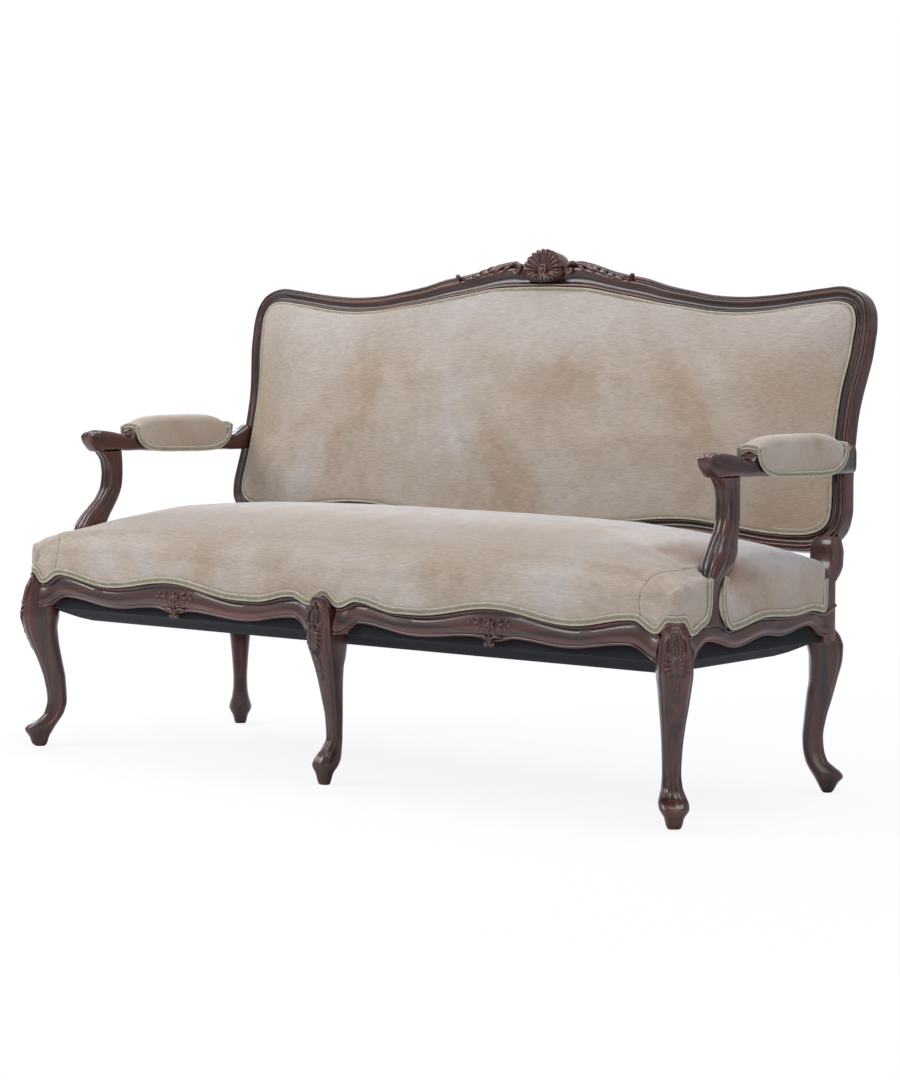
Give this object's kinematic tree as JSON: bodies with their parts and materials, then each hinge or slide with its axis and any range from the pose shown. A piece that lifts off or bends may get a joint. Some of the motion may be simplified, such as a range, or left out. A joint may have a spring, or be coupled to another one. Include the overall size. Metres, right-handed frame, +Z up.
{
  "type": "cabriole sofa",
  "caption": "Long upholstered settee with a carved serpentine show-wood frame, cabriole legs, open padded arms and a framed padded back.",
  "frame": {"origin": "on the floor under the middle of the settee's overall box", "axes": "+X to the sitter's left, which is the viewer's right from the front, +Y to the back, +Z up"},
  "size_m": [1.7602, 0.734, 1.0434],
  "materials": {
    "wood": "dark reddish-brown stain under a satin lacquer",
    "steel": "plain drawn steel",
    "jute": "raw woven jute",
    "stuffing": "felted fibre wadding",
    "velvet": "short beige velvet pile",
    "gimp": "woven ivory braid with a darker zigzag",
    "backing_cloth": "flat woven beige cloth",
    "dust_cloth": "thin black cambric"
  },
  "bodies": {
    "root": {"front_leg_right": "wood", "front_leg_left": "wood", "front_leg_centre": "wood", "rear_leg_right": "wood", "rear_leg_left": "wood", "front_rail_right": "wood", "front_rail_left": "wood", "side_rail_right": "wood", "side_rail_left": "wood", "rear_rail": "wood", "centre_brace": "wood", "back_crest_rail": "wood", "back_stile_right": "wood", "back_stile_left": "wood", "back_foot_rail": "wood", "arm_support_right": "wood", "arm_support_left": "wood", "arm_rest_right": "wood", "arm_rest_left": "wood", "seat_frame_dowels": "wood", "back_frame_dowels": "wood", "arm_dowels": "wood", "corner_blocks": "wood", "corner_block_screws": "steel", "webbing_tacks": "steel", "seat_springs": "steel", "spring_hessian": "jute", "back_webbing": "jute", "seat_webbing_crosswise": "jute", "seat_webbing_lengthwise": "jute", "seat_stuffing": "stuffing", "back_stuffing": "stuffing", "arm_pad_right": "stuffing", "arm_pad_left": "stuffing", "seat_cover": "velvet", "back_cover": "velvet", "arm_pad_cover_right": "velvet", "arm_pad_cover_left": "velvet", "back_gimp": "gimp", "back_outside_gimp": "gimp", "seat_gimp": "gimp", "arm_pad_gimp_right": "gimp", "arm_pad_gimp_left": "gimp", "back_outside_cloth": "backing_cloth", "dust_cover": "dust_cloth"}
  },
  "joints": []
}
